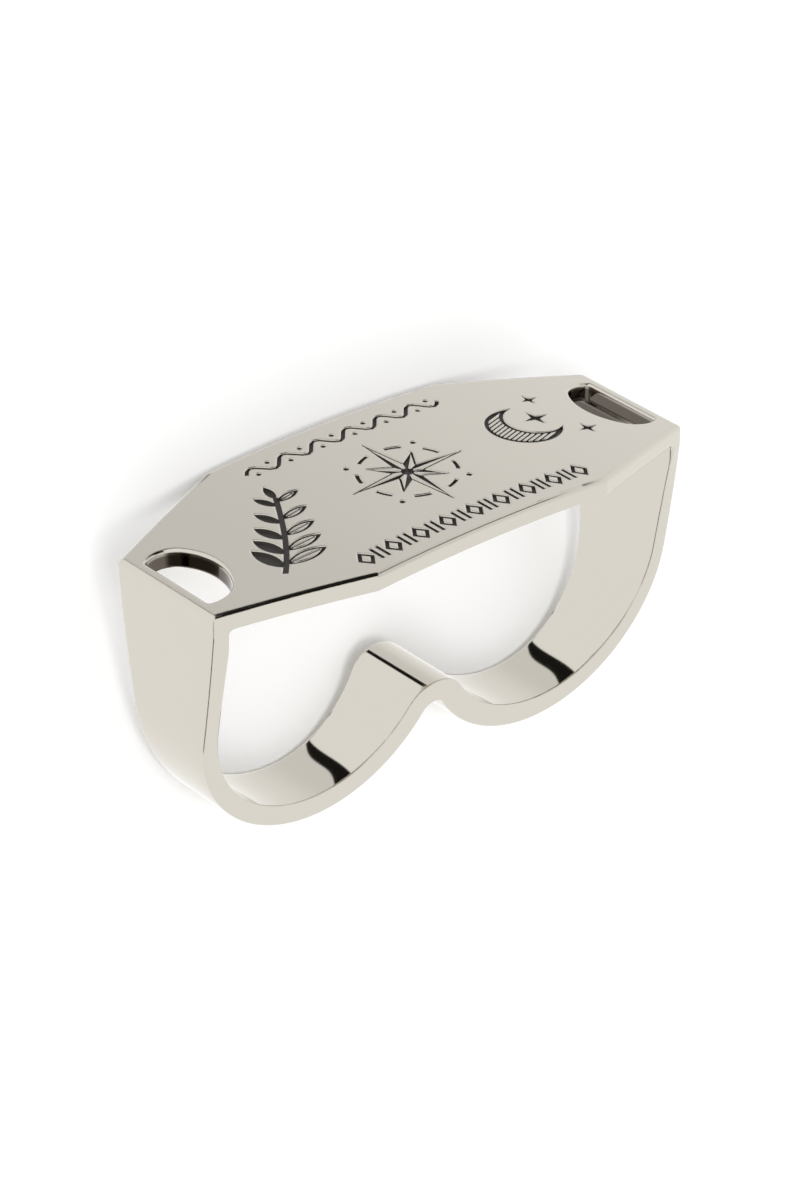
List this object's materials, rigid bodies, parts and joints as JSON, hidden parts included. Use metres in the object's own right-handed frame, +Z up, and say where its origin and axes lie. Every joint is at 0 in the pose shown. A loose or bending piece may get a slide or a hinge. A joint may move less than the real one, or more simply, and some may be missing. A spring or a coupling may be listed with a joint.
{
  "type": "two finger ring",
  "caption": "Ring for two neighbouring fingers: an arched eight-sided engraved plate with a rounded cut-out at each end, over an open band with two finger lobes.",
  "frame": {"origin": "Middle of the bounding box's bottom, on the surface the ring rests on.", "axes": "X runs along the engraved plate, from the end with the crescent to the end with the leafy sprig. Y runs from the plate to the finger lobes. Z is up from the surface: the ring lies on the plate's long back edge and the back edges of the two lobes, so the engraved face looks towards -Y and 18 degrees upwards."},
  "size_m": [0.044, 0.0262, 0.0188],
  "materials": {
    "metal": "polished"
  },
  "bodies": {
    "root": {"ring": "metal"}
  },
  "joints": []
}
